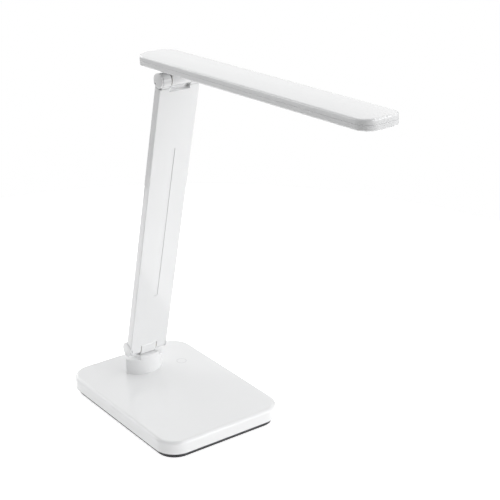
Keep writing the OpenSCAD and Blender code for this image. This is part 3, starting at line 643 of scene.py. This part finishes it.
# %% Upper shell of the light bar
BAR_W, BAR_LEN, BAR_CORNER = 38 * MM, 301 * MM, 12.4 * MM
BAR_EDGE = 1.4 * MM
BAR_SEAM, BAR_TOP, BAR_CEILING = 12.55 * MM, 17.3 * MM, 15.7 * MM
BAR_WALL = 1.6 * MM
BAR_CROWN = 0.8 * MM
BAR_MIDDLE = -111.5 * MM
BAR_SCREWS_MM = [(x, y) for x in (-13, 13) for y in (-20, 28)]


def bar_grid():
    """Profile of the shell carried along its outline, closed at its middle above and below."""
    outline = round_outline(BAR_W, BAR_LEN, BAR_CORNER, 40, 20)
    inner = BAR_CORNER - BAR_WALL
    low_edge = 0.1 * MM
    edge = rolled_edge(BAR_EDGE, BAR_CORNER, BAR_TOP, 10)
    edge += [(BAR_CORNER, BAR_SEAM + low_edge), (BAR_CORNER - low_edge, BAR_SEAM)]
    outside = carried(outline, [(BAR_CORNER - BAR_EDGE - 0.2 * MM, BAR_TOP)] + edge)
    top = shrunk(outside[:1], np.linspace(0, 0.96, 16), np.array([0, 0, BAR_TOP]))
    outside = np.concatenate([top, outside])
    height = (outside[..., 2] - BAR_SEAM) / (BAR_TOP - BAR_SEAM)
    outside[..., 2] -= BAR_CROWN * (outside[..., 0] / (BAR_W / 2)) ** 2 * height
    inside = carried(outline, [(inner, BAR_SEAM), (inner, BAR_CEILING)])
    ceiling = shrunk(inside[-1:], [0.5, 0], np.array([0, 0, BAR_CEILING]))
    whole = np.concatenate([outside, inside, ceiling])
    whole[..., 1] += BAR_MIDDLE
    return whole


bosses = [tube(1.0 * MM, 2.6 * MM, 9.4 * MM, 16.2 * MM, (x * MM, y * MM)) for x, y in BAR_SCREWS_MM]
shell = surface("bar_shell", [in_bar(grid) for grid in (bar_grid(), *bosses)])
finish_piece(shell, "light_bar", "bar_top_shell")
print("bar shell:", len(shell.data.vertices), "points")


# %% [markdown]
# ## The end caps
# Each hinge ends in a round cap at both sides: a low dome with a rounded rim, pressed into the barrel by
# a narrower neck. The upper caps have a small dimple near the rim, the mark of the pin that pushed the
# moulding out of its tool. A cap is a turned profile, and the dimple is a smooth step in its height.

# %% End caps
CAP_OUT, CAP_IN, EAR_OUT = 21.6 * MM, 19.3 * MM, 18.7 * MM
LOWER_CAP, UPPER_CAP = 7.1 * MM, 6.6 * MM
CAP_NECK, CAP_DOME, CAP_RIM = 5.4 * MM, 0.7 * MM, 0.25 * MM
DIMPLE_RADIUS, DIMPLE_DEEP, DIMPLE_FROM_MIDDLE = 1.0 * MM, 0.9 * MM, 4.4 * MM
DIMPLE_TURN = math.radians(-50)


def cap_grid(side, size, dimple):
    """Turned about X: height falls with the square of the radius, less the dimple's smooth step."""
    turn = np.linspace(0, 2 * np.pi, 144, endpoint=False)
    dome = np.linspace(0, size - CAP_RIM, 48)
    rim = np.linspace(0, np.pi / 2, 6)[1:]
    radius = np.concatenate([dome, size - CAP_RIM + CAP_RIM * np.sin(rim),
                             [size, size - 0.1 * MM, CAP_NECK, CAP_NECK, 0]])
    edge = CAP_OUT - CAP_DOME
    height = np.concatenate([CAP_OUT - CAP_DOME * (dome / size) ** 2, edge - CAP_RIM + CAP_RIM * np.cos(rim),
                             [CAP_IN + 0.1 * MM, CAP_IN, CAP_IN, EAR_OUT, EAR_OUT]])
    y = radius[:, None] * np.cos(turn)
    z = radius[:, None] * np.sin(turn)
    x = height[:, None] + 0 * y
    if dimple:
        middle = DIMPLE_FROM_MIDDLE * np.array([math.cos(DIMPLE_TURN), math.sin(DIMPLE_TURN)])
        away = np.hypot(y - middle[0], z - middle[1]) / DIMPLE_RADIUS
        step = np.clip((1.12 - away) / 0.24, 0, 1)
        on_dome = np.arange(len(radius))[:, None] < len(dome)
        x = x - on_dome * DIMPLE_DEEP * step ** 2 * (3 - 2 * step)
    return np.stack([side * x, y, z], -1)


lower = [in_arm(cap_grid(side, LOWER_CAP, False) + PIN_BEHIND) for side in (-1, 1)]
upper = [in_arm(cap_grid(side, UPPER_CAP, True) + np.array([0, 0, ARM_LENGTH])) for side in (-1, 1)]
for name, grids, node in (("lower_end_caps", lower, "lower_caps"), ("upper_end_caps", upper, "upper_caps")):
    caps = surface(name, grids)
    finish_piece(caps, "arm", node)
    print(name, len(caps.data.vertices), "points")


# %% [markdown]
# ## Screws
# The lamp is held together by pan-head screws with a cross in the head. In the solids a screw is two
# plain cylinders with a cross cut. Here it is one turned surface: the face bulges, the cross sinks in it,
# and round the shaft the radius rises and falls with a phase that grows with the angle, which winds the
# ridge into a thread. All screws of a node are one piece, because they are bought as one kind.

# %% Screws
M3 = {"radius": 1.5 * MM, "head": 2.8 * MM, "thick": 1.6 * MM, "pitch": 0.5 * MM}
M2 = {"radius": 1.0 * MM, "head": 1.9 * MM, "thick": 1.0 * MM, "pitch": 0.4 * MM}


def within(distance, limit, soft):
    """1 inside a limit and 0 beyond it: the limit less the distance, over a soft step, cut at 0 and 1."""
    return np.clip((limit - abs(distance)) / soft, 0, 1)


def screw_grid(size, length):
    """Head's face at height 0, shaft upwards. Face: a low bulge, less a cross of two slots. Thread:
    radius less a ridge whose phase is height over pitch less angle over a full turn."""
    turn = np.linspace(0, 2 * np.pi, 48, endpoint=False)
    head, thick, radius, pitch = size["head"], size["thick"], size["radius"], size["pitch"]
    face = np.linspace(0, 0.86, 26) * head
    r = face[:, None] + 0 * turn
    x, y = r * np.cos(turn), r * np.sin(turn)
    bulge = 0.18 * thick * (face[:, None] / head) ** 2
    slot_long, slot_wide, soft = 0.45 * head, 0.125 * head, 0.05 * head
    slot_x = within(y, slot_wide, soft) * within(x, slot_long, soft)
    slot_y = within(x, slot_wide, soft) * within(y, slot_long, soft)
    z = bulge + 0.6 * thick * np.maximum(slot_x, slot_y)
    side_r = np.array([0.95, 1.0, 1.0, 1.0])[:, None] * head + 0 * turn
    side_z = np.array([0.2, 0.36, 0.98, 1.0])[:, None] * thick + 0 * turn
    level = np.linspace(thick, thick + length - radius, max(12, int(length / pitch) * 5))
    phase = level[:, None] / pitch - turn / (2 * np.pi)
    ridge = abs(2 * (phase % 1) - 1)
    shaft_r = radius * (1 - 0.16 * ridge)
    shaft_z = level[:, None] + 0 * turn
    tip_r = np.array([0.7, 0.35, 0])[:, None] * radius + 0 * turn
    tip_z = np.array([0.45, 0.8, 1.0])[:, None] * radius + level[-1] + 0 * turn
    r_rest = np.concatenate([side_r, shaft_r, tip_r])
    z_rest = np.concatenate([side_z, shaft_z, tip_z])
    x = np.concatenate([x, r_rest * np.cos(turn)])
    y = np.concatenate([y, r_rest * np.sin(turn)])
    return np.stack([x, y, np.concatenate([z, z_rest])], -1)


def flipped(points):
    """Turned by half a turn about X, so that the shaft points down."""
    return turned_x(points, math.pi)


def at(x_mm, y_mm, z_mm):
    """A shift by so many millimetres."""
    return np.array([x_mm, y_mm, z_mm]) * MM


def screws(name, body, node, grids):
    """One piece from the grids of all the screws of a node."""
    piece = surface(name, grids)
    finish_piece(piece, body, node)
    print(name, len(grids), "screws")


BASE_SCREW = screw_grid(M3, 8 * MM)
BOARD_SCREW = screw_grid(M2, 4.1 * MM)
BOARD_SCREWS_MM = [(41, 32), (41, 80), (-7.5, 80)]
ARM_SCREW = turned_x(screw_grid(M2, 4.55 * MM), math.pi / 2)
ARM_SCREWS_MM = [(x, z) for x in (-17.55, 17.55) for z in (28, 254.3)]

screws("cover_screws", "base", "base_screws",
       [BASE_SCREW + at(x, y, 1.3) for x, y in BASE_SCREWS_MM])
screws("plate_screws", "base", "weight_screws",
       [flipped(BASE_SCREW) + at(x, -28, 11.9) for x in (-30, 30)])
screws("circuit_screws", "base", "board_screws",
       [flipped(BOARD_SCREW) + at(x, y, 8.1) for x, y in BOARD_SCREWS_MM])
screws("hinge_post_screws", "base", "post_screws",
       [screw_grid(M3, 14.4 * MM) + at(x, 49, 12.2) for x in (-12, 12)])
screws("bracket_plate_screws", "light_bar", "bracket_screws",
       [in_bar(flipped(screw_grid(M2, 5.7 * MM)) + at(x, 0, 11.9)) for x in (-6.6, 6.6)])
screws("bar_shell_screws", "light_bar", "bar_screws",
       [in_bar(BOARD_SCREW + at(x, y, 7.8)) for x, y in BAR_SCREWS_MM])
screws("arm_cover_screws", "arm", "arm_screws",
       [in_arm(ARM_SCREW + at(x, 4.05, z)) for x, z in ARM_SCREWS_MM])


# %% [markdown]
# ## Inside: spring, inlet pin and LEDs
# The touch ring works through a small spring between the board and the cover. The solid is a plain
# tube, and the real one is a wire that is wound up. A wound wire is a circle carried along a helix. The
# inlet's pin has a rounded nose, so that a plug finds it, and each LED is a chip under a pillow of
# yellow gel.

# %% Spring
def coil_grid(radius, wire, low, high, turns, place):
    """Helix of so many turns, with a small circle across it: out from the axis, and up."""
    t = np.linspace(0, 1, 40 * turns)
    round_wire = np.linspace(0, 2 * np.pi, 10, endpoint=False)
    thick = np.full_like(t, wire)
    thick[[0, -1]] = 0
    angle = 2 * np.pi * turns * t
    rise = low + wire + (high - low - 2 * wire) * t
    reach = radius + thick[:, None] * np.cos(round_wire)
    x = place[0] + reach * np.cos(angle)[:, None]
    y = place[1] + reach * np.sin(angle)[:, None]
    z = rise[:, None] + thick[:, None] * np.sin(round_wire)
    return np.stack([x, y, z], -1)


spring = surface("touch_coil", [coil_grid(3.6 * MM, 0.4 * MM, 7.1 * MM, 15.8 * MM, 6, TOUCH)])
finish_piece(spring, "base", "touch_spring")
print("spring:", len(spring.data.vertices), "points")


# %% Inlet pin and LEDs
def pin_grid(radius, start, end, height):
    """Turned about Y: a plain shaft, then a nose that follows a quarter circle."""
    nose = np.linspace(0, np.pi / 2, 8)
    along = np.concatenate([[start, start], end - radius + radius * np.sin(nose)])
    reach = np.concatenate([[0, radius], radius * np.cos(nose)])
    turn = np.linspace(0, 2 * np.pi, 32, endpoint=False)
    x = reach[:, None] * np.sin(turn)
    z = height + reach[:, None] * np.cos(turn)
    return np.stack([x, along[:, None] + 0 * x, z], -1)


pin = surface("inlet_contact", [pin_grid(1 * MM, 79.1 * MM, 87.6 * MM, INLET_HEIGHT)])
finish_piece(pin, "base", "inlet_pin")


LED_BACK = BAR_CEILING - 1.2 * MM
LED_HALF_WIDE, LED_HALF_LONG, LED_DEEP = 1.4 * MM, 1.75 * MM, 0.8 * MM
LED_COUNT = 18
LED_ROWS_MM = (-6, 6)
WINDOW_Y = -145 * MM
LED_PITCH = (206 - 7) / (LED_COUNT - 1) * MM


def led_grid(x, y):
    """Pillow with a flat back: a rounded square that shrinks as its height grows, like a low dome. The
    square root of sine and cosine makes the circle square."""
    turn = np.linspace(0, 2 * np.pi, 16, endpoint=False)
    lift = np.linspace(0, np.pi / 2, 4)
    share = np.concatenate([[0], np.cos(lift)])
    deep = np.concatenate([[0], np.sin(lift)]) * LED_DEEP
    wide = LED_HALF_WIDE * np.sign(np.cos(turn)) * abs(np.cos(turn)) ** 0.5
    long = LED_HALF_LONG * np.sign(np.sin(turn)) * abs(np.sin(turn)) ** 0.5
    px = x + share[:, None] * wide
    py = y + share[:, None] * long
    return np.stack([px, py, LED_BACK - deep[:, None] + 0 * px], -1)


led_ys = [WINDOW_Y + (i - (LED_COUNT - 1) / 2) * LED_PITCH for i in range(LED_COUNT)]
lights = surface("led_chips", [in_bar(led_grid(x * MM, y)) for x in LED_ROWS_MM for y in led_ys])
finish_piece(lights, "light_bar", "leds")
print("LEDs:", len(LED_ROWS_MM) * LED_COUNT)


# %% [markdown]
# ## Floor and light
# The photograph is a product shot on a white table. A broad panel stands low in front of the lamp, to the
# right of the camera, and lights the arm's face. Dimmer ones stand behind the lamp, at both of its sides
# and above it, and the room behind the camera is dim, so that the shells' near sides are darker than their
# tops. The table is a round plate that ends 62 cm from the lamp. Its own white comes from its colour. A
# glow, which only the camera and reflections see, lifts it to the white of the picture, and it still
# takes the lamp's shadow.

# %% Floor
FLOOR_RADIUS = 0.62
FLOOR_COLOUR = 0.88
FLOOR_GLOW = 0.75


def add_floor():
    """A round plate: rings of points at growing radii, whose rim rolls down by a quarter circle."""
    around = np.linspace(0, 2 * np.pi, 128, endpoint=False)
    rim = np.linspace(0, np.pi / 2, 7)
    radius = np.concatenate([[1e-4, 0.1, 0.25, 0.4], FLOOR_RADIUS + 0.01 * np.sin(rim)])
    height = np.concatenate([[0, 0, 0, 0], -0.01 + 0.01 * np.cos(rim)])
    x = radius[:, None] * np.cos(around)
    y = radius[:, None] * np.sin(around)
    z = height[:, None] + 0 * x
    floor = surface("floor", [np.stack([x, y, z], -1)])
    f = Finish("floor", Roughness=0.9, Emission_Color=(1, 1, 1, 1))
    grain = f.noise(f.place(), 60.0, 4.0)
    f.feed("Base Color", f.mix(grain, (FLOOR_COLOUR,) * 3, (FLOOR_COLOUR * 0.985,) * 3))
    camera_ray = f.node("ShaderNodeLightPath", {}, {}, "Is Camera Ray")
    glossy_ray = f.node("ShaderNodeLightPath", {}, {}, "Is Glossy Ray")
    f.feed("Emission Strength", (camera_ray + glossy_ray) * FLOOR_GLOW)
    floor.data.materials.append(f.material)


add_floor()
print("floor radius:", FLOOR_RADIUS, "m")


# %% World and panels
# Each panel: its direction as an azimuth from the front and an elevation, its width and height in
# metres, and its brightness, where 1 is the white of the picture.
ROOM = 0.47
ROOM_DARK_SIDE = 0.9
ROOM_FALL_FROM, ROOM_FALL_TO = -0.1, 0.9
PANEL_DISTANCE = 2.2
AIM = Vector((0, -0.05, 0.15))
PANELS = [
    ("front_right", 20, 11, 2.2, 0.9, 4.8),
    ("back_left", 196, 20, 2.6, 1.4, 2.1),
    ("back_low", 143, 20, 1.4, 0.9, 0.7),
    ("back_high", 96, 34, 3.0, 0.9, 0.7),
    ("top_right", 53, 60, 1.8, 0.9, 2.2),
    ("left", 266, 14, 1.8, 0.8, 1.7),
]


def add_world():
    """White for the camera. For everything else a grey room whose level falls towards the camera's side:
    the full level less a share of how far the direction agrees with the way to the camera."""
    world = bpy.data.worlds.new("world")
    bpy.context.scene.world = world
    world.use_nodes = True
    tree = world.node_tree
    make = tree.nodes.new
    link = tree.links.new
    back = tree.nodes["Background"]
    back.inputs["Color"].default_value = (1, 1, 1, 1)
    where = make("ShaderNodeTexCoord")
    agree = make("ShaderNodeVectorMath")
    agree.operation = "DOT_PRODUCT"
    agree.inputs[1].default_value = (-math.sin(YAW), -math.cos(YAW), 0)
    dimmer = make("ShaderNodeMapRange")
    dimmer.interpolation_type = "SMOOTHSTEP"
    dimmer.inputs["From Min"].default_value = ROOM_FALL_FROM
    dimmer.inputs["From Max"].default_value = ROOM_FALL_TO
    dimmer.inputs["To Min"].default_value = ROOM
    dimmer.inputs["To Max"].default_value = ROOM * (1 - ROOM_DARK_SIDE)
    path = make("ShaderNodeLightPath")
    level = make("ShaderNodeMix")
    level.inputs[3].default_value = 1.0
    link(where.outputs["Generated"], agree.inputs[0])
    link(agree.outputs["Value"], dimmer.inputs["Value"])
    link(path.outputs["Is Camera Ray"], level.inputs[0])
    link(dimmer.outputs[0], level.inputs[2])
    link(level.outputs[0], back.inputs["Strength"])


def add_panel(name, azimuth, elevation, width, height, brightness):
    """A panel that faces the lamp. Its power is its brightness times its area times pi."""
    turn, lift = math.radians(azimuth), math.radians(elevation)
    away = Vector((math.sin(turn) * math.cos(lift), -math.cos(turn) * math.cos(lift), math.sin(lift)))
    data = bpy.data.lights.new(name, "AREA")
    data.shape = "RECTANGLE"
    data.size = width
    data.size_y = height
    data.energy = brightness * width * height * math.pi
    panel = bpy.data.objects.new(name, data)
    panel.location = AIM + away * PANEL_DISTANCE
    panel.rotation_euler = away.to_track_quat("Z", "Y").to_euler()
    bpy.context.collection.objects.link(panel)


add_world()
for panel in PANELS:
    add_panel(*panel)
print("panels:", len(PANELS))
